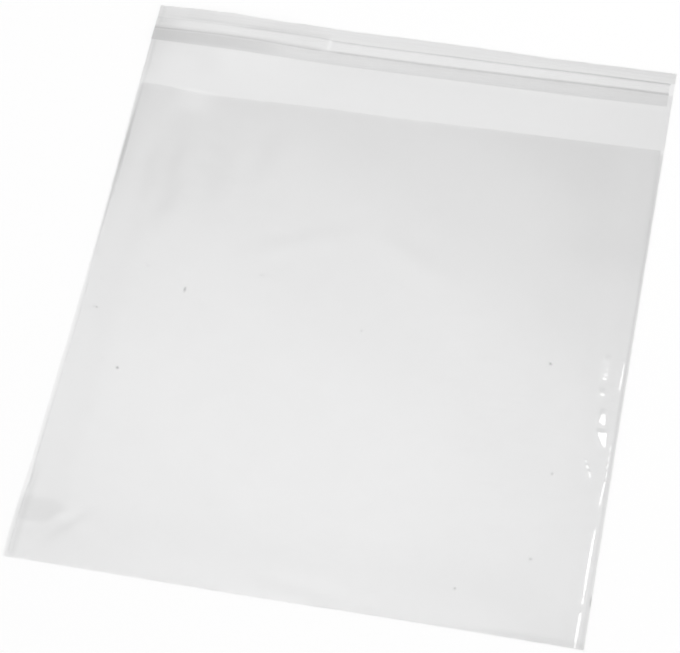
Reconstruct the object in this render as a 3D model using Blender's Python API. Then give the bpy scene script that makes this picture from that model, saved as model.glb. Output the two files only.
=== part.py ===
"""A flat, clear film bag with a self-adhesive flap, lying empty on its back.

One rectangle of film is folded at the bottom and welded along both sides. The back ply runs on past the
mouth as a flap, which carries a strip of glue under a peel-off liner. The fold is at -Y, the flap at +Y,
and the back ply lies on z = 0. The origin is in the middle of the bag's footprint.
"""

import math

import bmesh
import bpy

# Overall sizes, in metres
BAG_WIDTH = 0.165
POUCH_HEIGHT = 0.165
FLAP_HEIGHT = 0.030

# The film, its side welds with the bead that the hot knife leaves, and its fold
FILM_THICKNESS = 0.00003
WELD_WIDTH = 0.0012
BEAD_WIDTH = 0.0004
BEAD_HEIGHT = 0.00006
FOLD_INSIDE_RADIUS = 0.00015

# How the empty pouch lies: the air between its plies, and how far its welded sides draw in
POCKET_GAP = 0.0008
POCKET_EASE = 0.016
WAIST = 0.0007

# The flap lifts off the table a little, left of the middle
CURL_HEIGHT = 0.0006
CURL_CENTRE_X = -0.057
CURL_HALF_SPAN = 0.040

# The strip of glue, measured from the flap's top edge
GLUE_FROM_TOP = 0.0043
GLUE_WIDTH = 0.0043
GLUE_THICKNESS = 0.00005

# The liner over the glue: flush with it at the top, with a dry margin to pull at below it
LINER_THICKNESS = 0.00003
LINER_DRY_MARGIN = 0.0044
LINER_STEP_LENGTH = 0.0012

# The liner is kinked across the glue, and stands off a little from there to its left end
KINK_X = -0.0262
KINK_HEIGHT = 0.00035
KINK_HALF_WIDTH = 0.0006
LOOSE_END_LIFT = 0.0003

# Clearance between separate pieces that lie on each other
SEAT_GAP = 0.0003

# Mesh density
BEAD_STEPS = 2
EASE_STEPS = 5
MIDDLE_COLUMNS = 12
MIDDLE_ROWS = 14
FOLD_STEPS = 6
FLAP_STEPS = 6
GLUE_STEPS = 2
LINER_STEPS = 8
MERGE_DISTANCE = 1e-7
SHARP_ANGLE = math.radians(40)

# Places that follow from the sizes above
BOTTOM_Y = -(POUCH_HEIGHT + FLAP_HEIGHT) / 2
MOUTH_Y = BOTTOM_Y + POUCH_HEIGHT
TOP_Y = MOUTH_Y + FLAP_HEIGHT
SIDE_X = BAG_WIDTH / 2
WELD_X = SIDE_X - WELD_WIDTH
GLUE_TOP_Y = TOP_Y - GLUE_FROM_TOP
GLUE_LOW_Y = GLUE_TOP_Y - GLUE_WIDTH
LINER_LOW_Y = GLUE_LOW_Y - LINER_DRY_MARGIN


# Curves and steps

def held(share):
    return min(1.0, max(0.0, share))


def swell(share):
    """0 to 1, steep at first and level at the end, as film leaves a weld."""
    return math.sin(math.pi / 2 * held(share))


def smooth(share):
    """0 to 1, level at both ends."""
    share = held(share)
    return share * share * (3 - 2 * share)


def evenly(start, end, count):
    """count equal steps from start to end, with both ends."""
    return [start + (end - start) * i / count for i in range(count + 1)]


def eased(start, end, count):
    """count steps from start to end that are small at first, with both ends."""
    return [start + (end - start) * (1 - math.cos(math.pi / 2 * i / count)) for i in range(count + 1)]


# The film's levels: heights over the table, at x and at a distance up from the fold

def pocket_gap(x, up):
    """The air between the plies: none at the welds, and as wide as the fold is at the fold."""
    at_fold = 2 * FOLD_INSIDE_RADIUS
    full_width = at_fold + (POCKET_GAP - at_fold) * swell(up / POCKET_EASE)
    return full_width * swell((WELD_X - abs(x)) / POCKET_EASE)


def bead(x):
    inwards = held((SIDE_X - abs(x)) / BEAD_WIDTH)
    return BEAD_HEIGHT * math.cos(math.pi / 2 * inwards)


def table(x, up):
    return 0.0


def back_top(x, up):
    return FILM_THICKNESS + bead(x)


def front_low(x, up):
    return FILM_THICKNESS + pocket_gap(x, up)


def front_top(x, up):
    return 2 * FILM_THICKNESS + pocket_gap(x, up) + bead(x)


# Points of the bag

def lie_down(x, y, z):
    """Puts a point of the flat bag where it lies: the sides draw in, and the flap lifts."""
    along = (y - BOTTOM_Y) / (TOP_Y - BOTTOM_Y)
    drawn_in = 1 - WAIST / SIDE_X * math.sin(math.pi * along) ** 2
    up_the_flap = max(0.0, (y - MOUTH_Y) / FLAP_HEIGHT)
    from_centre = held(abs(x - CURL_CENTRE_X) / CURL_HALF_SPAN)
    lift = CURL_HEIGHT * up_the_flap**2 * math.cos(math.pi / 2 * from_centre) ** 2
    return x * drawn_in, y, z + lift


def fold_radius(x):
    return front_top(x, 0) / 2


def fold_point(x, turn, radius):
    """A point round the bottom fold: turn is 0 under the bag and 1 on top of it."""
    centre = fold_radius(x)
    angle = math.pi * turn
    return x, BOTTOM_Y + centre - radius * math.sin(angle), centre - radius * math.cos(angle)


def pouch_point(x, share, level):
    """A point on a face of the pouch: share is 0 at the fold and 1 at the mouth."""
    up = share * (POUCH_HEIGHT - fold_radius(x))
    return x, BOTTOM_Y + fold_radius(x) + up, level(x, up)


def flap_point(x, y, level):
    return x, y, level(x, POUCH_HEIGHT)


def columns():
    """X of each grid line: bead, weld, the pouch easing open, its middle, and the same to the right."""
    eased_open = eased(-WELD_X, -WELD_X + POCKET_EASE, EASE_STEPS)
    left = evenly(-SIDE_X, -SIDE_X + BEAD_WIDTH, BEAD_STEPS) + eased_open
    middle = evenly(eased_open[-1], -eased_open[-1], MIDDLE_COLUMNS)[1:-1]
    return left + middle + [-x for x in reversed(left)]


def pouch_shares():
    eased_open = eased(0, POCKET_EASE / POUCH_HEIGHT, EASE_STEPS)
    return eased_open + evenly(eased_open[-1], 1, MIDDLE_ROWS)[1:]


# Building faces

def add_patch(bm, us, vs, point):
    """Adds a patch of quads through point(u, v) for each u and v."""
    grid = [[bm.verts.new(lie_down(*point(u, v))) for v in vs] for u in us]
    for left, right in zip(grid, grid[1:]):
        for corners in zip(left, right, right[1:], left[1:]):
            bm.faces.new(corners)


def add_rim(bm, us, low, high):
    """Adds one row of quads between the lines low(u) and high(u)."""
    add_patch(bm, us, (low, high), lambda u, line: line(u))


def add_sheet(bm, xs, ys, low, thickness):
    """Adds a closed thin sheet over xs and ys, with its underside at low(x, y)."""
    for rise in (0, thickness):
        add_patch(bm, xs, ys, lambda x, y: (x, y, low(x, y) + rise))
    for x in (xs[0], xs[-1]):
        add_rim(bm, ys, lambda y: (x, y, low(x, y)), lambda y: (x, y, low(x, y) + thickness))
    for y in (ys[0], ys[-1]):
        add_rim(bm, xs, lambda x: (x, y, low(x, y)), lambda x: (x, y, low(x, y) + thickness))


def finish(bm, name, material):
    """Joins the patches into one closed skin that faces out, as an object."""
    bmesh.ops.remove_doubles(bm, verts=bm.verts, dist=MERGE_DISTANCE)
    bmesh.ops.recalc_face_normals(bm, faces=bm.faces)
    mesh = bpy.data.meshes.new(name)
    bm.to_mesh(mesh)
    bm.free()
    mesh.shade_smooth()
    mesh.set_sharp_from_angle(angle=SHARP_ANGLE)
    mesh.materials.append(material)
    bpy.context.scene.collection.objects.link(bpy.data.objects.new(name, mesh))


# The three pieces

def add_pouch(bm, across, pocket):
    """Both plies outside and in, with the fold between them."""
    shares = pouch_shares()
    turns = evenly(0, 1, FOLD_STEPS)
    for xs, level in ((across, table), (across, front_top), (pocket, back_top), (pocket, front_low)):
        add_patch(bm, xs, shares, lambda x, share: pouch_point(x, share, level))
    add_patch(bm, across, turns, lambda x, turn: fold_point(x, turn, fold_radius(x)))
    add_patch(bm, pocket, turns, lambda x, turn: fold_point(x, turn, pocket_gap(x, 0) / 2))

    for x in (across[0], across[-1]):
        add_rim(bm, shares, lambda s: pouch_point(x, s, table), lambda s: pouch_point(x, s, back_top))
        add_rim(bm, shares, lambda s: pouch_point(x, s, back_top), lambda s: pouch_point(x, s, front_top))
        end = [fold_point(x, turn, fold_radius(x)) for turn in turns] + [pouch_point(x, 0, back_top)]
        bm.faces.new([bm.verts.new(lie_down(*point)) for point in end])


def add_flap(bm, across):
    """The back ply past the mouth."""
    rows = evenly(MOUTH_Y, TOP_Y, FLAP_STEPS)
    for level in (table, back_top):
        add_patch(bm, across, rows, lambda x, y: flap_point(x, y, level))
    for x in (across[0], across[-1]):
        add_rim(bm, rows, lambda y: flap_point(x, y, table), lambda y: flap_point(x, y, back_top))
    add_rim(bm, across, lambda x: flap_point(x, TOP_Y, table), lambda x: flap_point(x, TOP_Y, back_top))


def film_bag(material):
    bm = bmesh.new()
    across = columns()
    pocket = [x for x in across if abs(x) < WELD_X + MERGE_DISTANCE]
    left_weld = across[: across.index(pocket[0]) + 1]
    right_weld = across[across.index(pocket[-1]):]
    add_pouch(bm, across, pocket)
    add_flap(bm, across)
    for xs, low in ((left_weld, back_top), (pocket, front_low), (right_weld, back_top)):
        add_rim(bm, xs, lambda x: pouch_point(x, 1, low), lambda x: pouch_point(x, 1, front_top))
    finish(bm, "film_bag", material)


def glue_low(x, y):
    return back_top(x, POUCH_HEIGHT) + SEAT_GAP


def adhesive_strip(material):
    bm = bmesh.new()
    add_sheet(bm, columns(), evenly(GLUE_LOW_Y, GLUE_TOP_Y, GLUE_STEPS), glue_low, GLUE_THICKNESS)
    finish(bm, "adhesive_strip", material)


def liner_low(x, y):
    """The liner's underside: on the flap in its dry margin, then up a step to lie over the glue."""
    on_glue = smooth((y - GLUE_LOW_Y) / LINER_STEP_LENGTH + 1)
    kink = KINK_HEIGHT * (1 - held(abs(x - KINK_X) / KINK_HALF_WIDTH))
    loose = LOOSE_END_LIFT * smooth((KINK_X - x) / (KINK_X + SIDE_X))
    return glue_low(x, y) + loose + on_glue * (GLUE_THICKNESS + SEAT_GAP + kink)


def release_liner(material):
    bm = bmesh.new()
    kink_columns = [KINK_X + KINK_HALF_WIDTH * side for side in (-1, 0, 1)]
    rows = evenly(LINER_LOW_Y, GLUE_LOW_Y, LINER_STEPS) + [GLUE_TOP_Y]
    add_sheet(bm, sorted(columns() + kink_columns), rows, liner_low, LINER_THICKNESS)
    finish(bm, "release_liner", material)


def clear_plastic(name, colour, roughness, alpha):
    material = bpy.data.materials.new(name)
    material.use_nodes = True
    inputs = material.node_tree.nodes["Principled BSDF"].inputs
    inputs["Base Color"].default_value = (*colour, 1)
    inputs["Metallic"].default_value = 0
    inputs["Roughness"].default_value = roughness
    inputs["Alpha"].default_value = alpha
    return material


def main():
    for old in list(bpy.data.objects):
        bpy.data.objects.remove(old)
    film_bag(clear_plastic("clear_film", (0.90, 0.91, 0.91), 0.08, 0.25))
    adhesive_strip(clear_plastic("clear_glue", (0.92, 0.92, 0.90), 0.25, 0.20))
    release_liner(clear_plastic("liner_film", (0.88, 0.89, 0.89), 0.15, 0.30))


main()
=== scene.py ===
"""The look of a flat, clear film bag with a sticky flap, as it lies empty on a white table.

Places on the bag are given as (across, up) in millimetres from its lower left corner, seen from its front:
0 to 165 across, and up from the folded bottom at 0, past the mouth, to the flap's edge at 195.
"""
import math

import bmesh
import bpy
import numpy as np
from mathutils import Matrix, Vector


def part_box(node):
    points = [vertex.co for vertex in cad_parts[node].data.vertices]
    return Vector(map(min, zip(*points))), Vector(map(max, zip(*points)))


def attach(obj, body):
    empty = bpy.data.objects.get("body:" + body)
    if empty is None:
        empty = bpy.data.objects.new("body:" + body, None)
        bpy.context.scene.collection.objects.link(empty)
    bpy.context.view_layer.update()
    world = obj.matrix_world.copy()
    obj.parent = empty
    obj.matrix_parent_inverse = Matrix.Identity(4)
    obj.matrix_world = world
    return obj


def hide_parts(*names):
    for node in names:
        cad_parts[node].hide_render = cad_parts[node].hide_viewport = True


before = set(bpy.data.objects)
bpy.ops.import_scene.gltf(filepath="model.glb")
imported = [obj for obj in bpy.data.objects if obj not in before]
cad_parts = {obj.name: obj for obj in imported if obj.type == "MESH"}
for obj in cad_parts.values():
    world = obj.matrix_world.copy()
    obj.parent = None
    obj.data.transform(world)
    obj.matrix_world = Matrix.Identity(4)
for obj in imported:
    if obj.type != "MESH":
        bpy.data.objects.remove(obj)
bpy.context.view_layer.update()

MM = 0.001
FILM_LOW, FILM_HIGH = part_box("film_bag")

# The bag's sizes, in millimetres
WIDTH = (FILM_HIGH[0] - FILM_LOW[0]) / MM
HEIGHT = (FILM_HIGH[1] - FILM_LOW[1]) / MM
FLAP_HEIGHT = 30.0
POUCH_HEIGHT = HEIGHT - FLAP_HEIGHT
FILM = 0.03
WELD_WIDTH = 1.2
BEAD_WIDTH = 0.4
BEAD_HEIGHT = 0.06
FOLD_INSIDE_RADIUS = 0.1

# The welded sides bow in, the lower left corner spreads, and the fold sags a little at its left. Here and
# below, a pair of places is where a change starts and where it is full
BOW_LEFT = 0.7
BOW_RIGHT = 0.1
CORNER_SPREAD = 0.5
CORNER_UP = 8.0
CORNER_HALF_HEIGHT = 22.0
FOLD_SAG = 0.4
SAG_ACROSS = (120.0, 60.0)
SAG_UP = 25.0

# How the pouch and the flap lie, in millimetres
POCKET_GAP = 0.45
LEAST_GAP = 0.01
SIDE_EASE = 14.0
FOLD_EASE = 26.0
CURL_HEIGHT = 0.6
CURL_CENTRE = 25.5
CURL_HALF_SPAN = 40.0

# Lines that cross the bag, as (across, up): no cut or strip on it is quite straight
MOUTH = (
    (0, 165.0), (8, 164.65), (14, 163.9), (27, 163.35), (45, 163.85), (60, 164.3), (85, 164.3),
    (115, 164.95), (150, 165.35), (165, 165.95),
)
LINER_LOW = ((0, 181.2), (14, 181.22), (27, 181.5), (62, 181.0), (90, 181.25), (135, 181.65), (165, 182.35))
GLUE_LOW = (
    (0, 186.0), (20, 186.4), (34, 186.3), (50, 185.55), (62, 185.45), (90, 185.5), (120, 185.9),
    (150, 186.45), (165, 186.5),
)
GLUE_TOP = (
    (0, 190.3), (30, 190.7), (54, 190.85), (58, 190.15), (75, 190.15), (90, 190.35), (120, 190.5),
    (140, 190.85), (165, 191.0),
)
TOP_EDGE = (
    (0, 195.0), (24, 195.4), (36, 195.0), (62, 194.8), (80, 195.0), (105, 195.0), (127, 194.7),
    (150, 195.0), (165, 195.1),
)
GLUE_THICKNESS = 0.05
LINER_THICKNESS = 0.03
LINER_GAP = 0.02
LINER_STEP = 4.0

# The liner is kinked across the glue, and is loose from there to its left end, where it curls off the flap
KINK_ACROSS = 56.3
KINK_HALF_WIDTH = 0.8
KINK_HEIGHT = 0.02
KINK_STARTS = 0.3
KINK_ENDS = 0.6
LOOSE_ACROSS = (52.0, 40.0)
LOOSE_RIPPLE = 0.04
LOOSE_RIPPLE_LENGTH = 31.0
LOOSE_CURL = 0.45

# Clear plastic: the reflectance of one face looked at squarely, for a refractive index of 1.49, and how
# many faces one ray may pass
FACE_REFLECTANCE = 0.039
FILM_FACES_IN_A_ROW = 48

# How much light each face of the film, the glue and the liner takes out
FRONT_SHADE = 0.0173
BACK_SHADE = 0.0383
GLUED_BACK_SHADE = 0.004
GLUE_SHADE = 0.007
LINER_SHADE = 0.0115
LINER_LEAST_SHADE = 0.002
STREAK_DARKNESS = 0.0012

# The camera, from the perspective of the bag's corners in the photograph
CAMERA_AZIMUTH = 15.70
CAMERA_ELEVATION = 60.17
CAMERA_ROLL = -5.19
CAMERA_DISTANCE = 0.7491
CAMERA_TARGET = (-0.00318, -0.00864, 0.0)
CAMERA_LENS = 134.5


# Shapes over the bag

def along(line, across):
    """The height of a line that is given by (across, up) points."""
    places, heights = zip(*line)
    return np.interp(across, places, heights)


def bump(distance, half_width):
    """1 on a line, falling smoothly to 0 at half_width from it."""
    return (1 + np.cos(np.pi * np.clip(np.abs(distance) / half_width, 0, 1))) / 2


def swell(share):
    """0 to 1, steep at first and level at the end, as film leaves a weld."""
    return np.sin(np.pi / 2 * np.clip(share, 0, 1))


def smooth(share):
    """0 to 1, level at both ends."""
    share = np.clip(share, 0, 1)
    return share * share * (3 - 2 * share)


def ramp(value, start, end):
    """0 at start and 1 at end, level at both."""
    return smooth((value - start) / (end - start))


def between(low, high, share):
    return low + (high - low) * share


def fade(value, stops):
    """0 to 1 over the first two stops, and back to 0 over the last two if there are more; 1 with no stops."""
    if not stops:
        return 1 + 0 * value
    share = ramp(value, stops[0], stops[1])
    if len(stops) > 2:
        share = share * ramp(value, stops[-1], stops[-2])
    return share


def over_areas(areas, across, up):
    """The darkness of soft-edged areas, each given as (darkness, stops across, stops up)."""
    dark = 0 * across
    for darkness, stops_across, stops_up in areas:
        dark = dark + darkness * fade(across, stops_across) * fade(up, stops_up)
    return dark


def crease(across, up, start, end, half_width, height):
    """A ridge from start to end, highest half way along."""
    run = np.subtract(end, start)
    length = np.hypot(*run)
    right, top = run / length
    forward = ((across - start[0]) * right + (up - start[1]) * top) / length
    aside = (across - start[0]) * top - (up - start[1]) * right
    return height * bump(aside, half_width) * bump(2 * forward - 1, 1)


def mouth(across):
    return along(MOUTH, across)


def top_edge(across):
    return along(TOP_EDGE, across)


def bow(up):
    return np.sin(np.pi * up / HEIGHT) ** 2


def place(across, up, height):
    """Points in the row frame, in metres: the sides draw in, and the flap lifts off the table."""
    to_right = across / WIDTH
    spread = CORNER_SPREAD * bump(up - CORNER_UP, CORNER_HALF_HEIGHT) * (1 - to_right) ** 2
    x = across - WIDTH / 2 + bow(up) * (BOW_LEFT * (1 - to_right) - BOW_RIGHT * to_right) - spread
    sag = FOLD_SAG * ramp(across, *SAG_ACROSS) * ramp(up, SAG_UP, 0)
    flap_share = np.clip((up - POUCH_HEIGHT) / FLAP_HEIGHT, 0, 2)
    from_centre = np.clip(np.abs(across - CURL_CENTRE) / CURL_HALF_SPAN, 0, 1)
    lift = CURL_HEIGHT * flap_share**2 * np.cos(np.pi / 2 * from_centre) ** 2
    return np.stack([x, up - HEIGHT / 2 - sag, height + lift], axis=-1) * MM


# Small flat faces that the film's pull makes beside the right weld, which catch the lamp. Each is
# (from, to) up the bag, (right side at from, at to), (width at from, at to), slope, bulge of the width half
# way, the lengths over which it fades at both ends, and the share of its height that goes in rungs
FACET_RISE = 0.5
RUNG_STEP = 2.0
FACETS = (
    ((83.6, 92.8), (159.3, 159.5), (1.9, 1.7), 0.121, 0.0, (0.6, 1.8), 0.05),
    ((78.2, 81.2), (159.5, 159.4), (2.0, 1.8), 0.122, 0.0, (0.7, 1.0), 0.0),
    ((69.0, 74.8), (161.0, 160.4), (2.6, 1.1), 0.122, 0.2, (0.5, 1.6), 0.0),
    ((62.4, 67.7), (161.9, 161.7), (0.8, 2.8), 0.124, 0.9, (0.1, 0.1), 0.0),
    ((55.2, 57.9), (157.7, 157.4), (1.0, 0.8), 0.134, 0.0, (0.35, 0.35), 0.0),
    ((53.4, 56.3), (158.5, 158.2), (1.0, 1.0), 0.134, 0.0, (0.35, 0.35), 0.0),
    ((51.8, 54.5), (159.3, 159.0), (0.9, 1.0), 0.132, 0.0, (0.35, 0.35), 0.0),
    ((81.2, 92.4), (163.6, 163.65), (0.8, 0.7), 0.122, 0.0, (0.8, 1.5), 0.05),
    ((61.0, 64.2), (163.5, 163.55), (0.5, 0.4), 0.116, 0.0, (0.5, 0.6), 0.0),
    ((58.2, 60.8), (163.5, 163.55), (0.5, 0.4), 0.120, 0.0, (0.35, 0.4), 0.0),
    ((55.9, 57.9), (163.5, 163.55), (0.5, 0.4), 0.124, 0.0, (0.35, 0.35), 0.0),
    ((52.9, 55.4), (163.5, 163.55), (0.5, 0.4), 0.122, 0.0, (0.35, 0.35), 0.0),
    ((47.7, 52.4), (163.35, 163.55), (0.7, 0.5), 0.126, 0.0, (0.8, 0.8), 0.0),
    ((43.2, 48.6), (163.0, 163.35), (0.6, 0.6), 0.122, 0.0, (0.8, 0.8), 0.0),
    ((16.0, 37.5), (162.85, 162.95), (0.6, 0.4), 0.130, 0.3, (0.3, 0.3), 0.0),
    ((12.5, 15.2), (162.80, 162.85), (0.6, 0.6), 0.124, 0.1, (0.5, 0.5), 0.0),
    ((1.0, 11.5), (162.75, 162.90), (0.9, 0.75), 0.130, 0.1, (0.4, 0.4), 0.0),
    ((-2.0, 1.2), (162.80, 162.75), (0.7, 0.9), 0.130, 0.0, (0.4, 0.4), 0.0),
)

# Soft folds of the front ply: (start, end, half width, height), with start and end as (across, up)
SOFT_FOLD_EASE = 6.0
SOFT_FOLD_GRIP = 1.5
SOFT_FOLDS = (
    ((38.0, 104.0), (84.0, 124.5), 5.0, 0.06),
    ((76.0, 127.0), (116.0, 103.0), 5.0, 0.08),
    ((6.0, 168.0), (15.0, 96.0), 4.0, 0.06),
    ((17.0, 166.0), (25.0, 104.0), 4.5, 0.06),
    ((34.0, 160.0), (36.0, 108.0), 5.0, 0.05),
    ((-6.0, 20.0), (30.0, 6.0), 5.0, 0.10),
    ((-2.0, 4.0), (28.0, 22.0), 4.0, 0.06),
    ((60.0, 8.0), (110.0, 2.0), 4.0, 0.04),
)
WAVE_LENGTHS = (61.0, 83.0)
WAVE_SLANTS = (0.4, 0.3)
WAVE_HEIGHT = 0.06


def facet(across, up, heights, rights, widths, slope, bulge, fades, rungs):
    """A face that falls to the right at its slope, with a short rise on its left."""
    length = heights[1] - heights[0]
    share = (up - heights[0]) / length
    even = smooth(share * length / fades[0]) * smooth((1 - share) * length / fades[1])
    rung = 1 + rungs * np.sin(2 * np.pi * share * length / RUNG_STEP)
    right = between(*rights, share)
    width = between(*widths, share) + 4 * bulge * share * (1 - share)
    rise = smooth((across - right + width) / FACET_RISE + 1)
    return slope * np.clip(right - across, 0, np.maximum(width, 0)) * rise * even * rung


def soft_folds(across, up):
    height = 0 * across
    for fold in SOFT_FOLDS:
        height = height + crease(across, up, *fold)
    wave = np.sin(2 * np.pi * (across + WAVE_SLANTS[0] * up) / WAVE_LENGTHS[0])
    wave = wave * np.sin(2 * np.pi * (up - WAVE_SLANTS[1] * across) / WAVE_LENGTHS[1])
    return height + WAVE_HEIGHT * wave


def facets(across, up):
    height = 0 * across
    across = across - BOW_RIGHT * bow(up)
    for one in FACETS:
        height = height + facet(across, up, *one)
    return height


def pocket_gap(across, up):
    """The air between the plies, in millimetres."""
    from_weld = np.minimum(across, WIDTH - across) - WELD_WIDTH
    open_across = swell(from_weld / SIDE_EASE)
    at_fold = 2 * FOLD_INSIDE_RADIUS
    full = at_fold + (POCKET_GAP - at_fold) * swell(up / FOLD_EASE)
    folded = soft_folds(across, up) * smooth(from_weld / SOFT_FOLD_EASE) * swell(up / SOFT_FOLD_GRIP)
    return np.maximum(full * open_across + folded + facets(across, up), LEAST_GAP * smooth(from_weld))


def bead(across):
    inwards = np.clip(np.minimum(across, WIDTH - across) / BEAD_WIDTH, 0, 1)
    return BEAD_HEIGHT * np.cos(np.pi / 2 * inwards)


def table(across, up):
    return 0 * across


def back_top(across, up):
    return FILM + bead(across)


def front_low(across, up):
    return FILM + pocket_gap(across, up)


def front_top(across, up):
    return 2 * FILM + pocket_gap(across, up) + bead(across)


# How dark the film is, per face, with painted shade and painted light

# The welds' dark inner lines are painted shade, which changes up the bag: (up, in from the edge, darkness)
LEFT_SEAM_PAINTED_SHADE = (
    (0, 0.9, 0.028), (19, 1.0, 0.022), (24, 1.7, 0.038), (30, 1.2, 0.030), (45, 1.05, 0.026),
    (60, 0.95, 0.020), (75, 0.95, 0.020), (90, 0.95, 0.034), (105, 0.75, 0.050), (115, 0.75, 0.070),
    (125, 0.8, 0.085), (140, 0.85, 0.115), (150, 0.95, 0.09), (156, 1.0, 0.056), (164, 1.0, 0.052),
    (166, 1.4, 0.03), (174, 1.45, 0.05), (181, 1.35, 0.06), (183, 1.2, 0.01), (186, 1.2, 0.01),
    (188, 1.3, 0.045), (192, 1.5, 0.04), (195, 1.4, 0.024),
)
RIGHT_SEAM_PAINTED_SHADE = (
    (0, 0.75, 0.022), (10, 0.75, 0.017), (40, 0.75, 0.022), (60, 0.75, 0.034), (80, 0.75, 0.042),
    (100, 0.75, 0.036), (140, 0.8, 0.050), (150, 0.8, 0.045), (158, 0.8, 0.03), (164, 0.9, 0.02),
    (166, 0.9, 0.0),
)
LEFT_SEAM_HALF_WIDTH = 0.65
RIGHT_SEAM_HALF_WIDTH = 0.5

# The welds' clear borders take out a little more light as painted shade, and the right one most
# below the mouth
WELD_END = (POUCH_HEIGHT, POUCH_HEIGHT - 1.5)
BORDER_PAINTED_SHADE = 0.004
RIGHT_BORDER_PAINTED_SHADE = 0.032

# The fold shows as a painted shade line that is wider and darker towards its right end
FOLD_LINE_WIDENS = (120, 150)
FOLD_LINE_HALF_WIDTHS = (1.0, 3.5)
FOLD_LINE_PAINTED_SHADES = (0.001, 0.027)

# Painted shade in fine streaks on the flap's lip, above the glue
LIP_UP = (191.0, 191.6)
LIP_PAINTED_SHADE = 0.008
LIP_STREAK_PAINTED_SHADE = 0.009
LIP_STREAK_STEP = 1.3
LIP_STREAK_SLANT = 17.0

# The glue's shadow on the lip: (across, darkness)
LIP_SHADOW = (
    (2, 0.0), (12, 0.024), (28, 0.022), (33, 0.040), (38, 0.030), (50, 0.022), (54, 0.034), (57, 0.0),
)
LIP_SHADOW_UP = 191.2
LIP_SHADOW_HALF_WIDTH = 1.0

# Soft-edged areas, as (darkness, stops across, stops up). First those of the outer faces of both plies:
# painted shade on the left weld low down, the right weld high up and the left edge below the mouth, and a
# darker spot on the right weld
OUTER_PAINTED_AREAS = (
    (0.018, (1.2, 2.6, 4.0), (36, 21)),
    (0.012, (162.7, 163.4, 164.1), (122, 140)),
    (0.020, (6, 0), (105, 145, 163.5, 165)),
    (0.10, (164.2, 164.7, 165.2), (12.1, 14.5, 16.9)),
)

# Painted light makes the front ply a little clearer beside its welds and over the fold, and painted shade
# darkens the fold's right end
FRONT_PAINTED_AREAS = (
    (-0.007, (18, 4), ()),
    (-0.007, (145, 157), ()),
    (0.0035, (155, 162), ()),
    (-0.008, (), (15, 3)),
    (0.0137, (140, 158), (15, 3)),
)

# Painted shade makes the back ply darker up its left edge, where it curls, in its lower left corner, at
# the right below the mouth, and at both ends of the flap and its lip; painted light makes it clearer below
# the mouth at the left
BACK_PAINTED_AREAS = (
    (0.020, (9, 0), (160, 175)),
    (0.008, (20, 6), (13, 9)),
    (0.003, (125, 165), (130, 160)),
    (0.008, (130, 150), (114, 128, 142)),
    (0.007, (26, 14), (173.5, 179.5, 185.5)),
    (0.010, (12, 2), (185, 189, 193)),
    (0.008, (12, 20, 28), (168, 175, 182)),
    (0.004, (138, 158), (165, 167)),
    (0.022, (2, 12, 40, 60), (190.3, 191.0)),
    (0.010, (90, 140), (192.5, 194.0)),
    (-0.020, (8.5, 18.5, 28.5), (154, 159, 163.7, 165.2)),
)

# A painted shade patch by the lower left corner, which comes to a point at its right
PATCH_PAINTED_SHADE = 0.021
PATCH_TIP = (15.0, 16.8)
PATCH_EASE = 2.0
PATCH_UP = (11.3, 12.7, 18.5, 19.9)

# Painted light in a line on the flap just below the liner, and at the liner's kink
BELOW_LINER_PAINTED_LIGHT = 0.006
BELOW_LINER_ACROSS = (80, 92)
BELOW_LINER = 0.7
BELOW_LINER_HALF_WIDTH = 0.8
KINK_PAINTED_LIGHT = 0.028
KINK_GLUE_PAINTED_LIGHT = 0.8

# Over what height the liner's contact with the glue ends: at its dry margin, and at the glue's top
MARGIN_EDGE = 0.5
CONTACT_EDGE = 0.4

# Painted shade on the back ply in darker fingers, as of soft creases, with painted light where the
# darkness is below 0: (start, end, half width, darkness)
PAINTED_FINGERS = (
    ((12, 148), (8, 124), 3.0, 0.008),
    ((14, 144), (11, 116), 3.5, 0.010),
    ((19, 150), (16, 121), 3.5, 0.010),
    ((25, 138), (11, 106), 6.0, 0.013),
    ((35, 150), (30, 119), 6.5, 0.008),
    ((49, 162), (42, 128), 5.0, 0.010),
    ((14, 170), (7, 134), 4.5, -0.008),
    ((46, 109), (84, 126), 2.5, 0.003),
    ((80, 127), (108, 107), 2.5, 0.003),
    ((7, 2.5), (25, 21.5), 2.4, 0.014),
)


def painted_seam_line(seam, half_width, from_edge, up):
    ups, places, depths = zip(*seam)
    return np.interp(up, ups, depths) * bump(from_edge - np.interp(up, ups, places), half_width)


def painted_outer_shade(across, up):
    """Painted shade on outer faces: welds' dark inner lines and clear borders, the fold, lip streaks, and
    areas.
    """
    from_left, from_right = across, WIDTH - across
    lines = painted_seam_line(LEFT_SEAM_PAINTED_SHADE, LEFT_SEAM_HALF_WIDTH, from_left, up)
    lines = lines + painted_seam_line(RIGHT_SEAM_PAINTED_SHADE, RIGHT_SEAM_HALF_WIDTH, from_right, up)
    borders = BORDER_PAINTED_SHADE * (np.minimum(from_left, from_right) < WELD_WIDTH)
    borders = borders + RIGHT_BORDER_PAINTED_SHADE * ramp(up, *WELD_END) * (from_right < WELD_WIDTH)
    fold = bump(up, between(*FOLD_LINE_HALF_WIDTHS, ramp(across, *FOLD_LINE_WIDENS)))
    fold = fold * between(*FOLD_LINE_PAINTED_SHADES, ramp(across, 0, WIDTH))
    streaked = np.sin(2 * np.pi * up / LIP_STREAK_STEP + across / LIP_STREAK_SLANT)
    lip = ramp(up, *LIP_UP) * (LIP_PAINTED_SHADE + LIP_STREAK_PAINTED_SHADE * streaked)
    return lines + borders + fold + lip + over_areas(OUTER_PAINTED_AREAS, across, up)


# The front ply's tint, with painted light and painted shade from its areas
def front_shade(across, up):
    return FRONT_SHADE + over_areas(FRONT_PAINTED_AREAS, across, up)


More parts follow.
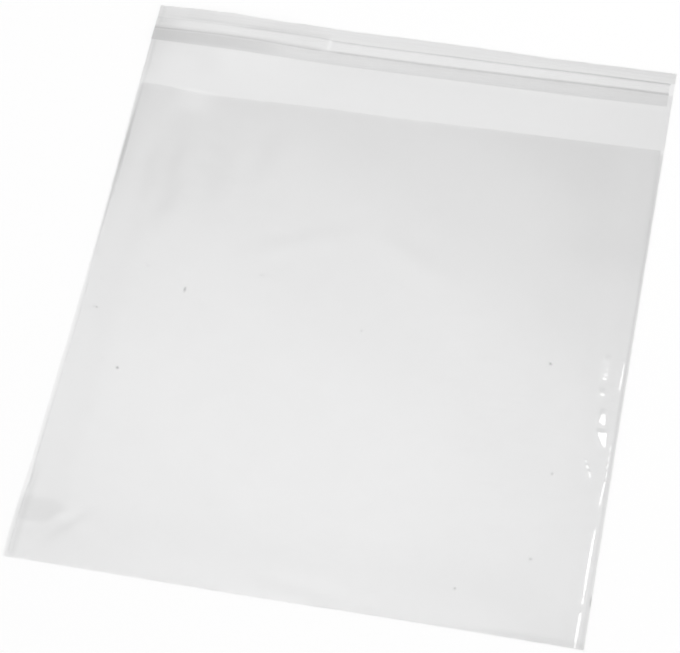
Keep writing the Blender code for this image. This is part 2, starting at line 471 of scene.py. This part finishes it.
def back_shade(across, up):
    """The back ply: painted shade in its patch, fingers and the glue's shadow; painted light lines by the
    liner.
    """
    patch = smooth((PATCH_TIP[0] - across - np.abs(up - PATCH_TIP[1])) / PATCH_EASE) * fade(up, PATCH_UP)
    shadow = along(LIP_SHADOW, across) * bump(up - LIP_SHADOW_UP, LIP_SHADOW_HALF_WIDTH)
    painted_below_liner = bump(along(LINER_LOW, across) - BELOW_LINER - up, BELOW_LINER_HALF_WIDTH)
    painted_below_liner = painted_below_liner * ramp(across, *BELOW_LINER_ACROSS)
    dark = BACK_SHADE + over_areas(BACK_PAINTED_AREAS, across, up) + PATCH_PAINTED_SHADE * patch + shadow
    for painted_finger in PAINTED_FINGERS:
        dark = dark + crease(across, up, *painted_finger)
    return dark - BELOW_LINER_PAINTED_LIGHT * painted_below_liner - KINK_PAINTED_LIGHT * kink(across, up)


def front_shade_and_painted_outer(across, up):
    return front_shade(across, up) + painted_outer_shade(across, up)


def back_shade_and_painted_outer(across, up):
    return back_shade(across, up) + painted_outer_shade(across, up)


def glued_back_shade(across, up):
    """Under the glue the film's top face takes almost nothing out."""
    return back_shade(across, up) - (BACK_SHADE - GLUED_BACK_SHADE) * glue_contact(across, up)


def kink(across, up):
    """1 on the liner's kink across the glue, where painted light makes a clear line."""
    from_low = smooth(up - along(GLUE_LOW, across) - KINK_STARTS)
    from_top = smooth(along(GLUE_TOP, across) + KINK_ENDS - up)
    return from_low * from_top * bump(across - KINK_ACROSS, KINK_HALF_WIDTH)


def above_margin(across, up):
    """0 on the liner's dry margin and 1 above it; the change is softer where the liner is loose."""
    edge = MARGIN_EDGE + ramp(across, *LOOSE_ACROSS)
    return smooth((up - along(GLUE_LOW, across)) / edge + 0.5)


def glue_contact(across, up):
    """1 where the liner is stuck down to the glue."""
    return above_margin(across, up) * smooth((along(GLUE_TOP, across) - up) / CONTACT_EDGE + 0.5)


def everywhere(across, up):
    return 1 + 0 * across


# Building meshes

MERGE_DISTANCE = 1e-7
SHARP_ANGLE = math.radians(50)


class Patches:
    """Grids of quads that become one closed skin."""

    def __init__(self):
        self.points = []
        self.faces = []
        self.marks = {"shade": [], "contact": []}
        self.count = 0

    def add(self, across, up, height, shade_of=None, contact_of=None):
        """across, up and height are arrays of one shape, rows by columns."""
        across, up, height = np.broadcast_arrays(across, up, height)
        rows, columns = across.shape
        self.points.append(place(across, up, height).reshape(-1, 3))
        for mark, value_of in (("shade", shade_of), ("contact", contact_of)):
            values = 0 * across if value_of is None else value_of(across, up)
            self.marks[mark].append(values.ravel())
        index = self.count + np.arange(rows * columns).reshape(rows, columns)
        corners = [index[:-1, :-1], index[:-1, 1:], index[1:, 1:], index[1:, :-1]]
        self.faces.append(np.stack([c.ravel() for c in corners], axis=-1))
        self.count += rows * columns

    def piece(self, name, material, slot):
        mesh = bpy.data.meshes.new(name)
        mesh.from_pydata(np.concatenate(self.points), [], np.concatenate(self.faces))
        for mark, values in self.marks.items():
            layer = mesh.attributes.new(mark, "FLOAT", "POINT")
            layer.data.foreach_set("value", np.concatenate(values).astype(np.float32))
        bm = bmesh.new()
        bm.from_mesh(mesh)
        bmesh.ops.remove_doubles(bm, verts=bm.verts, dist=MERGE_DISTANCE)
        bmesh.ops.recalc_face_normals(bm, faces=bm.faces)
        bm.to_mesh(mesh)
        bm.free()
        mesh.shade_smooth()
        mesh.set_sharp_from_angle(angle=SHARP_ANGLE)
        mesh.materials.append(material)
        made = bpy.data.objects.new(name, mesh)
        bpy.context.scene.collection.objects.link(made)
        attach(made, "root")
        return made


def steps(*stretches):
    """Grid lines from (end, step) stretches, starting at 0."""
    lines = [0.0]
    for end, step in stretches:
        count = max(1, round((end - lines[-1]) / step))
        start = lines[-1]
        lines += [start + (end - start) * (i + 1) / count for i in range(count)]
    return np.array(lines)


COLUMNS = steps(
    (BEAD_WIDTH, 0.2), (WELD_WIDTH, 0.27), (3.2, 0.5), (9.2, 1.0), (24.0, 1.5),
    (KINK_ACROSS - KINK_HALF_WIDTH, 3.3), (KINK_ACROSS + KINK_HALF_WIDTH, 0.4), (155.6, 3.3),
    (162.0, 0.22), (WIDTH - WELD_WIDTH, 0.18), (WIDTH - BEAD_WIDTH, 0.27), (WIDTH, 0.2),
)
POUCH_ROWS = steps(
    (6.0, 0.5), (44.0, 1.1), (50.0, 0.6), (61.0, 0.3), (94.0, 0.6), (160.0, 1.9), (POUCH_HEIGHT, 1.0),
) / POUCH_HEIGHT
FINE_FLAP_ROWS = 14.0
FLAP_ROWS = steps((FLAP_HEIGHT - FINE_FLAP_ROWS, 1.6), (FLAP_HEIGHT, 0.5)) / FLAP_HEIGHT
FOLD_TURNS = np.linspace(0, 1, 9)
SNAP = 1e-6


# Specks in the film, as small grey lenses on its top: (across, up), radius across, radius up, darkness

SPECKS = (
    ((17.2, 63.9), 0.65, 0.65, 0.26),
    ((142.3, 86.7), 0.65, 0.75, 0.24),
    ((30.7, 93.3), 0.60, 1.30, 0.20),
    ((6.0, 83.0), 0.55, 0.55, 0.17),
    ((127.1, 11.9), 0.60, 0.60, 0.15),
    ((148.2, 51.6), 0.60, 0.60, 0.14),
    ((146.4, 24.3), 0.75, 0.65, 0.12),
    ((85.7, 88.2), 0.65, 0.70, 0.10),
    ((52.5, 102.0), 0.80, 0.60, 0.08),
    ((12.0, 66.4), 0.50, 0.50, 0.09),
    ((11.9, 49.9), 0.50, 0.50, 0.09),
    ((127.4, 153.6), 0.50, 0.50, 0.08),
    ((87.7, 143.0), 0.60, 0.55, 0.08),
    ((25.0, 76.7), 0.60, 0.55, 0.07),
    ((17.8, 99.5), 0.60, 0.60, 0.07),
    ((5.0, 93.2), 0.80, 0.60, 0.07),
)
SPECK_HEIGHT = 0.02
SPECK_CLEARANCE = 0.002
SPECK_RINGS = (0.0, 0.35, 0.7, 1.0)
SPECK_SIDES = 12

# Faint gels at chance places. A pair is (least, how much chance adds)
GEL_COUNT = 34
GEL_SEED = 5
GEL_ACROSS = (5, 150)
GEL_LEFT_BIAS = 1.8
GEL_UP = (35, 115)
GEL_RADIUS_ACROSS = 0.5
GEL_RADIUS_UP = (0.35, 0.3)
GEL_DARKNESS = (0.03, 0.04)


def small_gels():
    """Gels in the form of specks, most of them up the left half of the pouch."""
    chance = np.random.default_rng(GEL_SEED)
    gels = []
    for _ in range(GEL_COUNT):
        across = GEL_ACROSS[0] + GEL_ACROSS[1] * chance.random() ** GEL_LEFT_BIAS
        up = GEL_UP[0] + GEL_UP[1] * chance.random()
        radius_up = GEL_RADIUS_UP[0] + GEL_RADIUS_UP[1] * chance.random()
        darkness = GEL_DARKNESS[0] + GEL_DARKNESS[1] * chance.random()
        gels.append(((across, up), GEL_RADIUS_ACROSS, radius_up, darkness))
    return tuple(gels)


def add_speck(skin, centre, radius_across, radius_up, darkness):
    ring = np.array(SPECK_RINGS)[:, None]
    turn = 2 * np.pi * np.linspace(0, 1, SPECK_SIDES + 1)[None, :]
    across = centre[0] + radius_across * ring * np.cos(turn)
    up = centre[1] + radius_up * ring * np.sin(turn)
    level = front_top(*centre) + SPECK_CLEARANCE + 0 * across

    def darker_inwards(across, up):
        return darkness * (1 - ring) + 0 * across

    skin.add(across, up, level + SPECK_HEIGHT * (1 - ring**2), darker_inwards, everywhere)
    skin.add(across, up, level, None, everywhere)


def fold_radius(columns):
    return front_top(columns, 0 * columns) / 2


def up_the_pouch(columns):
    start = fold_radius(columns)
    return start + POUCH_ROWS[:, None] * (mouth(columns) - start)


def up_the_flap(columns):
    return mouth(columns) + FLAP_ROWS[:, None] * (top_edge(columns) - mouth(columns))


def add_rim(skin, columns, low_of):
    """The front ply's rim at the mouth."""
    lip = mouth(columns)
    inside = lip - fold_radius(columns)
    levels = np.concatenate([low_of(columns, inside), front_top(columns, inside)])
    skin.add(columns, np.repeat(lip, 2, axis=0), levels)


def add_cut_side(skin, side):
    """A cut side of the pouch and the flap, split at the back ply's height, with the fold's end."""
    edge = np.array([[side]])
    up = up_the_pouch(edge)
    low = table(edge + 0 * up, up)
    middle = back_top(edge + 0 * up, up)
    high = front_top(edge + 0 * up, up)
    for pair in ((low, middle), (middle, high)):
        skin.add(edge, np.repeat(up, 2, axis=1), np.concatenate(pair, axis=1))
    up = up_the_flap(edge)
    pair = (table(edge + 0 * up, up), back_top(edge + 0 * up, up))
    skin.add(edge, np.repeat(up, 2, axis=1), np.concatenate(pair, axis=1))
    angle = np.pi * FOLD_TURNS[:, None]
    radius = fold_radius(edge)
    rim_up = radius - radius * np.sin(angle)
    rim_height = radius - radius * np.cos(angle)
    centre_up = np.repeat(radius, len(angle), axis=0)
    centre_height = np.full_like(centre_up, middle[0, 0])
    skin.add(edge, np.concatenate([rim_up, centre_up], axis=1),
             np.concatenate([rim_height, centre_height], axis=1))


def make_film_bag(material):
    skin = Patches()
    across = COLUMNS[None, :]
    left = COLUMNS[COLUMNS < WELD_WIDTH + SNAP][None, :]
    inner = COLUMNS[(COLUMNS > WELD_WIDTH - SNAP) & (COLUMNS < WIDTH - WELD_WIDTH + SNAP)][None, :]
    right = COLUMNS[COLUMNS > WIDTH - WELD_WIDTH - SNAP][None, :]

    def ply(columns, level, shade_of):
        up = up_the_pouch(columns)
        skin.add(columns, up, level(columns + 0 * up, up - fold_radius(columns)), shade_of)

    def fold(columns, radius):
        angle = np.pi * FOLD_TURNS[:, None]
        centre = fold_radius(columns)
        skin.add(columns, centre - radius * np.sin(angle), centre - radius * np.cos(angle), front_shade)

    ply(across, table, back_shade_and_painted_outer)
    ply(inner, back_top, back_shade)
    ply(inner, front_low, front_shade)
    ply(across, front_top, front_shade_and_painted_outer)
    fold(across, fold_radius(across))
    fold(inner, pocket_gap(inner, 0 * inner) / 2)

    # The flap, and the rim at its top edge
    up = up_the_flap(across)
    skin.add(across, up, table(across + 0 * up, up), back_shade_and_painted_outer)
    skin.add(across, up, back_top(across + 0 * up, up), glued_back_shade, glue_contact)
    top = np.repeat(top_edge(across), 2, axis=0)
    skin.add(across, top, np.concatenate([table(across, top[:1]), back_top(across, top[:1])]))

    # The mouth's rim lies on the back ply at the welds, and stands over the pocket between them
    for columns, low_of in ((left, back_top), (inner, front_low), (right, back_top)):
        add_rim(skin, columns, low_of)
    for side in (0.0, WIDTH):
        add_cut_side(skin, side)

    for one in SPECKS + small_gels():
        add_speck(skin, *one)
    film_bag = skin.piece("film_bag_skin", material, "clear_film")
    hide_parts("film_bag")


# The glue and the liner stop short of the flap's right edge, and have close columns at the kink

STRIP_END = 163.5
KINK_COLUMNS = KINK_ACROSS + KINK_HALF_WIDTH * np.array([-0.75, -0.25, 0.25, 0.75])
STRIP_COLUMNS = np.unique(np.concatenate([COLUMNS[COLUMNS < STRIP_END], [STRIP_END], KINK_COLUMNS]))
GLUE_ROWS = 24
MARGIN_ROWS = 10
ON_GLUE_ROWS = 12

# The glue's two long edges are thick, and painted shade shows them as dark lines. A pair holds the values
# where it is loose, at the left, and where it is stuck, or those at its left and right ends
GLUE_STUCK = (50, 58)
LOW_LINE_IN = (0.0, 0.35)
LOW_LINE_HALF_WIDTHS = (1.9, 0.9)
LOW_LINE_PAINTED_SHADES = (0.050, 0.068)
LOW_LINE_RIGHT_PAINTED_SHADE = 0.008
LOW_LINE_RIGHT_ACROSS = (100, 140)
LOW_LINE_FADE = 0.6
LOW_LINE_FAINT_AT = 55.5
LOW_LINE_FAINT_HALF_WIDTH = 3.5
TOP_LINE_IN = 0.2
TOP_LINE_HALF_WIDTH = 0.7
TOP_LINE_PAINTED_SHADES = (0.018, 0.076)
TOP_LINE_STARTS = (22, 30)
TOP_LINE_FADE = 0.5
TOP_LINE_FAINT_AT = 48.0
TOP_LINE_FAINT_HALF_WIDTH = 9.0

# Painted shade makes the glue and the liner greyer towards their ends, and painted light makes the liner's
# left end clearer: (darkness, stops across, stops up)
GLUE_PAINTED_AREAS = (
    (0.016, (64, 44), ()),
    (0.006, (125, 150), ()),
)
MARGIN_PAINTED_AREAS = (
    (0.007, (62, 58), ()),
    (0.020, (46, 32), ()),
    (-0.010, (5, 1), ()),
)


def thin_strip(rows_of, low_of, thickness, shade_of, contact_below=None, contact_above=None):
    """A closed thin strip across the flap, with its underside at low_of."""
    skin = Patches()
    across = STRIP_COLUMNS[None, :]
    up = rows_of(across)
    low = low_of(across + 0 * up, up)
    skin.add(across, up, low, shade_of, contact_below)
    skin.add(across, up, low + thickness, shade_of, contact_above)
    for row in (0, -1):
        ends = np.stack([low[row], low[row] + thickness])
        skin.add(across, np.repeat(up[row][None, :], 2, axis=0), ends, shade_of)
    for column in (0, -1):
        ends = np.stack([low[:, column], low[:, column] + thickness], axis=1)
        edge = np.full((1, 1), across[0, column])
        skin.add(edge, np.repeat(up[:, column][:, None], 2, axis=1), ends, shade_of)
    return skin


def glue_low(across, up):
    return back_top(across, up) + LINER_GAP


# The glue's tint, with painted shade on its long edges and towards its ends, and painted light at the kink
def glue_shade(across, up):
    stuck = ramp(across, *GLUE_STUCK)
    low_line = along(GLUE_LOW, across) + between(*LOW_LINE_IN, stuck)
    lower = bump(up - low_line, between(*LOW_LINE_HALF_WIDTHS, stuck))
    lower = lower * (between(*LOW_LINE_PAINTED_SHADES, stuck) + LOW_LINE_RIGHT_PAINTED_SHADE * ramp(across, *LOW_LINE_RIGHT_ACROSS))
    lower = lower * (1 - LOW_LINE_FADE * bump(across - LOW_LINE_FAINT_AT, LOW_LINE_FAINT_HALF_WIDTH))
    upper = bump(up - along(GLUE_TOP, across) + TOP_LINE_IN, TOP_LINE_HALF_WIDTH)
    upper = upper * between(*TOP_LINE_PAINTED_SHADES, across / WIDTH) * ramp(across, *TOP_LINE_STARTS)
    upper = upper * (1 - TOP_LINE_FADE * bump(across - TOP_LINE_FAINT_AT, TOP_LINE_FAINT_HALF_WIDTH))
    dark = GLUE_SHADE + over_areas(GLUE_PAINTED_AREAS, across, up) + lower + upper
    return dark * (1 - KINK_GLUE_PAINTED_LIGHT * kink(across, up))


def make_adhesive_strip(material):
    rows = steps((1.0, 1 / GLUE_ROWS))

    def rows_of(across):
        low = along(GLUE_LOW, across)
        return low + rows[:, None] * (along(GLUE_TOP, across) - low)

    skin = thin_strip(rows_of, glue_low, GLUE_THICKNESS, glue_shade, everywhere, everywhere)
    strip = skin.piece("adhesive_bead", material, "clear_glue")
    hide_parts("adhesive_strip")


def liner_low(across, up):
    """Down on the flap in its dry margin, then up a step to lie on the glue; loose left of its kink."""
    glue_edge = along(GLUE_LOW, across)
    on_glue = smooth((up - glue_edge) / LINER_STEP + 1)
    ridge = KINK_HEIGHT * bump(across - KINK_ACROSS, KINK_HALF_WIDTH)
    loose = smooth((KINK_ACROSS - across) / KINK_ACROSS)
    ripple = LOOSE_RIPPLE * loose * (1 + np.sin(2 * np.pi * across / LOOSE_RIPPLE_LENGTH))
    curled = LOOSE_CURL * loose * np.clip((glue_edge - up) / LINER_STEP, 0, 1)
    return glue_low(across, up) + ripple + curled + on_glue * (GLUE_THICKNESS + LINER_GAP + ridge)


def make_release_liner(material):
    margin = steps((1.0, 1 / MARGIN_ROWS))
    over_glue = steps((1.0, 1 / ON_GLUE_ROWS))[1:]

    def rows_of(across):
        low, middle, top = along(LINER_LOW, across), along(GLUE_LOW, across), along(GLUE_TOP, across)
        below = low + margin[:, None] * (middle - low)
        above = middle + over_glue[:, None] * (top - middle)
        return np.concatenate([below, above])

    # The liner's tint, darker on its dry margin, with painted shade and painted light from its areas
    def liner_shade(across, up):
        dry = 1 - above_margin(across, up)
        return LINER_LEAST_SHADE + dry * (LINER_SHADE + over_areas(MARGIN_PAINTED_AREAS, across, up))

    skin = thin_strip(rows_of, liner_low, LINER_THICKNESS, liner_shade, glue_contact)
    strip = skin.piece("release_tape", material, "liner_film")
    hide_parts("release_liner")


# Materials. A pair is (low, high), of the noise or of what it makes

FILM_ROUGHNESS = 0.07
GLUE_ROUGHNESS = 0.20
LINER_ROUGHNESS = 0.12
STREAK_SCALE = (80, 800, 0)
STREAK_NOISE = (0.55, 0.80)
GLOSS_NOISE = (0.3, 0.7)
GLOSS_SPREAD = (0.7, 1.3)


def node(tree, kind, **settings):
    made = tree.nodes.new(kind)
    for name, value in settings.items():
        setattr(made, name, value)
    return made


def mapped(tree, value, from_range, to_low, to_high):
    made = node(tree, "ShaderNodeMapRange")
    tree.links.new(value, made.inputs["Value"])
    made.inputs["From Min"].default_value = from_range[0]
    made.inputs["From Max"].default_value = from_range[1]
    made.inputs["To Min"].default_value = to_low
    made.inputs["To Max"].default_value = to_high
    return made.outputs["Result"]


def streaks(tree):
    """Fine short darker lines that run across the bag, from stretched noise that also spreads the gloss."""
    coords = node(tree, "ShaderNodeTexCoord")
    stretched = node(tree, "ShaderNodeVectorMath", operation="MULTIPLY")
    tree.links.new(coords.outputs["Object"], stretched.inputs[0])
    stretched.inputs[1].default_value = STREAK_SCALE
    noise = node(tree, "ShaderNodeTexNoise", noise_dimensions="2D")
    noise.inputs["Scale"].default_value = 1.0
    noise.inputs["Detail"].default_value = 1.0
    tree.links.new(stretched.outputs[0], noise.inputs["Vector"])
    return noise.outputs["Fac"]


def clear_plastic(name, roughness):
    """See-through, with a gloss that grows towards grazing views; darker where the mesh's shade says so,
    which holds the tint, the specks, and painted shade and painted light.
    """
    material = bpy.data.materials.new(name)
    material.use_nodes = True
    tree = material.node_tree
    tree.nodes.clear()
    link = tree.links.new
    streak = streaks(tree)

    facing = node(tree, "ShaderNodeLayerWeight")
    facing.inputs["Blend"].default_value = 0.5
    grazing = node(tree, "ShaderNodeMath", operation="POWER")
    grazing.inputs[1].default_value = 5.0
    link(facing.outputs["Facing"], grazing.inputs[0])
    reflectance = node(tree, "ShaderNodeMath", operation="MULTIPLY_ADD")
    reflectance.inputs[1].default_value = 1 - FACE_REFLECTANCE
    reflectance.inputs[2].default_value = FACE_REFLECTANCE
    link(grazing.outputs[0], reflectance.inputs[0])
    contact = node(tree, "ShaderNodeAttribute", attribute_name="contact")
    in_air = node(tree, "ShaderNodeMath", operation="SUBTRACT")
    in_air.inputs[0].default_value = 1.0
    link(contact.outputs["Fac"], in_air.inputs[1])
    share = node(tree, "ShaderNodeMath", operation="MULTIPLY")
    link(reflectance.outputs[0], share.inputs[0])
    link(in_air.outputs[0], share.inputs[1])

    dark = node(tree, "ShaderNodeMath", operation="ADD")
    link(node(tree, "ShaderNodeAttribute", attribute_name="shade").outputs["Fac"], dark.inputs[0])
    link(mapped(tree, streak, STREAK_NOISE, 0.0, STREAK_DARKNESS), dark.inputs[1])
    colour = node(tree, "ShaderNodeMix", data_type="RGBA")
    colour.inputs["A"].default_value = (1, 1, 1, 1)
    colour.inputs["B"].default_value = (0, 0, 0, 1)
    link(dark.outputs[0], colour.inputs["Factor"])
    through = node(tree, "ShaderNodeBsdfTransparent")
    link(colour.outputs["Result"], through.inputs["Color"])

    gloss = node(tree, "ShaderNodeBsdfAnisotropic")
    gloss.inputs["Color"].default_value = (1, 1, 1, 1)
    roughnesses = [roughness * spread for spread in GLOSS_SPREAD]
    link(mapped(tree, streak, GLOSS_NOISE, *roughnesses), gloss.inputs["Roughness"])

    both = node(tree, "ShaderNodeMixShader")
    link(share.outputs[0], both.inputs["Fac"])
    link(through.outputs[0], both.inputs[1])
    link(gloss.outputs[0], both.inputs[2])
    output = node(tree, "ShaderNodeOutputMaterial")
    link(both.outputs[0], output.inputs["Surface"])
    return material


# The table, the studio and the camera

FLOOR_HALF_SIZE = 4.0
FLOOR_LEVEL = -0.0001
FLOOR_COLOUR = (0.94, 0.94, 0.94, 1)
FLOOR_GLOW = 0.13

# Round patches of the studio that the film mirrors: azimuth, elevation, radius of the edge and of the core
DARK_GAP = (-2, 25, 41, 26.6)
DARK_GAP_LEVEL = -0.97
SOFT_BOX = (-17, 61.1, 8.6, 0)
SOFT_BOX_LEVEL = 0.60
LAMP_SIZES = (0.16, 0.45)
LAMP_WATTS = 0.9
LAMP_DIRECTION = (33, 58.5)
LAMP_AIM = (0.078, -0.045, 0)
LAMP_DISTANCE = 1.3


def direction(azimuth, elevation):
    """A unit vector; azimuth turns from +Y towards +X."""
    a, e = math.radians(azimuth), math.radians(elevation)
    return Vector((math.sin(a) * math.cos(e), math.cos(a) * math.cos(e), math.sin(e)))


def make_floor():
    mesh = bpy.data.meshes.new("floor")
    signs = ((-1, -1), (1, -1), (1, 1), (-1, 1))
    corners = [(x * FLOOR_HALF_SIZE, y * FLOOR_HALF_SIZE, FLOOR_LEVEL) for x, y in signs]
    mesh.from_pydata(corners, [], [(0, 1, 2, 3)])
    floor = bpy.data.objects.new("floor", mesh)
    bpy.context.scene.collection.objects.link(floor)
    material = bpy.data.materials.new("white_table")
    material.use_nodes = True
    tree = material.node_tree
    tree.nodes.clear()
    paint = node(tree, "ShaderNodeBsdfDiffuse")
    paint.inputs["Color"].default_value = FLOOR_COLOUR
    glow = node(tree, "ShaderNodeEmission")
    path = node(tree, "ShaderNodeLightPath")
    seen = node(tree, "ShaderNodeMath", operation="MAXIMUM")
    seen_too = node(tree, "ShaderNodeMath", operation="MAXIMUM")
    tree.links.new(path.outputs["Is Camera Ray"], seen.inputs[0])
    tree.links.new(path.outputs["Is Glossy Ray"], seen.inputs[1])
    tree.links.new(seen.outputs[0], seen_too.inputs[0])
    tree.links.new(path.outputs["Is Transmission Ray"], seen_too.inputs[1])
    amount = node(tree, "ShaderNodeMath", operation="MULTIPLY")
    amount.inputs[1].default_value = FLOOR_GLOW
    tree.links.new(seen_too.outputs[0], amount.inputs[0])
    tree.links.new(amount.outputs[0], glow.inputs["Strength"])
    both = node(tree, "ShaderNodeAddShader")
    tree.links.new(paint.outputs[0], both.inputs[0])
    tree.links.new(glow.outputs[0], both.inputs[1])
    output = node(tree, "ShaderNodeOutputMaterial")
    tree.links.new(both.outputs[0], output.inputs["Surface"])
    mesh.materials.append(material)


def make_studio():
    """A white room, with a bright soft box high up and a dark gap under it, which the film mirrors."""
    world = bpy.data.worlds.new("studio")
    bpy.context.scene.world = world
    world.use_nodes = True
    tree = world.node_tree
    tree.nodes.clear()
    coords = node(tree, "ShaderNodeTexCoord")

    def patch(azimuth, elevation, edge, core):
        """1 within core degrees of a direction, and 0 past edge degrees from it."""
        towards = node(tree, "ShaderNodeVectorMath", operation="DOT_PRODUCT")
        towards.inputs[1].default_value = direction(azimuth, elevation)
        tree.links.new(coords.outputs["Generated"], towards.inputs[0])
        fade = node(tree, "ShaderNodeMapRange", interpolation_type="SMOOTHSTEP")
        fade.inputs["From Min"].default_value = math.cos(math.radians(edge))
        fade.inputs["From Max"].default_value = math.cos(math.radians(core))
        tree.links.new(towards.outputs["Value"], fade.inputs["Value"])
        return fade.outputs["Result"]

    def add_scaled(value, scale, base):
        made = node(tree, "ShaderNodeMath", operation="MULTIPLY_ADD")
        tree.links.new(value, made.inputs[0])
        made.inputs[1].default_value = scale
        if isinstance(base, float):
            made.inputs[2].default_value = base
        else:
            tree.links.new(base, made.inputs[2])
        return made.outputs[0]

    level = add_scaled(patch(*DARK_GAP), DARK_GAP_LEVEL, 1.0)
    level = add_scaled(patch(*SOFT_BOX), SOFT_BOX_LEVEL, level)
    background = node(tree, "ShaderNodeBackground")
    background.inputs["Color"].default_value = (1, 1, 1, 1)
    tree.links.new(level, background.inputs["Strength"])
    output = node(tree, "ShaderNodeOutputWorld")
    tree.links.new(background.outputs[0], output.inputs["Surface"])

    light = bpy.data.lights.new("small_lamp", "AREA")
    light.shape = "ELLIPSE"
    light.size, light.size_y = LAMP_SIZES
    light.energy = LAMP_WATTS
    lamp = bpy.data.objects.new("small_lamp", light)
    bpy.context.scene.collection.objects.link(lamp)
    towards = direction(*LAMP_DIRECTION)
    lamp.location = Vector(LAMP_AIM) + LAMP_DISTANCE * towards
    lamp.rotation_mode = "QUATERNION"
    lamp.rotation_quaternion = towards.to_track_quat("Z", "Y")


def make_camera():
    look = -direction(180 - CAMERA_AZIMUTH, CAMERA_ELEVATION)
    level_right = look.cross(Vector((0, 0, 1))).normalized()
    level_up = level_right.cross(look)
    roll = math.radians(CAMERA_ROLL)
    right = math.cos(roll) * level_right + math.sin(roll) * level_up
    up = right.cross(look)
    turn = Matrix((right, up, -look)).transposed()
    data = bpy.data.cameras.new("camera")
    data.lens = CAMERA_LENS
    camera = bpy.data.objects.new("camera", data)
    camera.matrix_world = Matrix.Translation(Vector(CAMERA_TARGET) - CAMERA_DISTANCE * look) @ turn.to_4x4()
    bpy.context.scene.collection.objects.link(camera)
    bpy.context.scene.camera = camera


make_camera()
make_studio()
make_floor()
make_film_bag(clear_plastic("clear_film", FILM_ROUGHNESS))
make_adhesive_strip(clear_plastic("clear_glue", GLUE_ROUGHNESS))
make_release_liner(clear_plastic("liner_film", LINER_ROUGHNESS))

bpy.context.scene.view_settings.view_transform = "Standard"
bpy.context.scene.cycles.transparent_max_bounces = FILM_FACES_IN_A_ROW
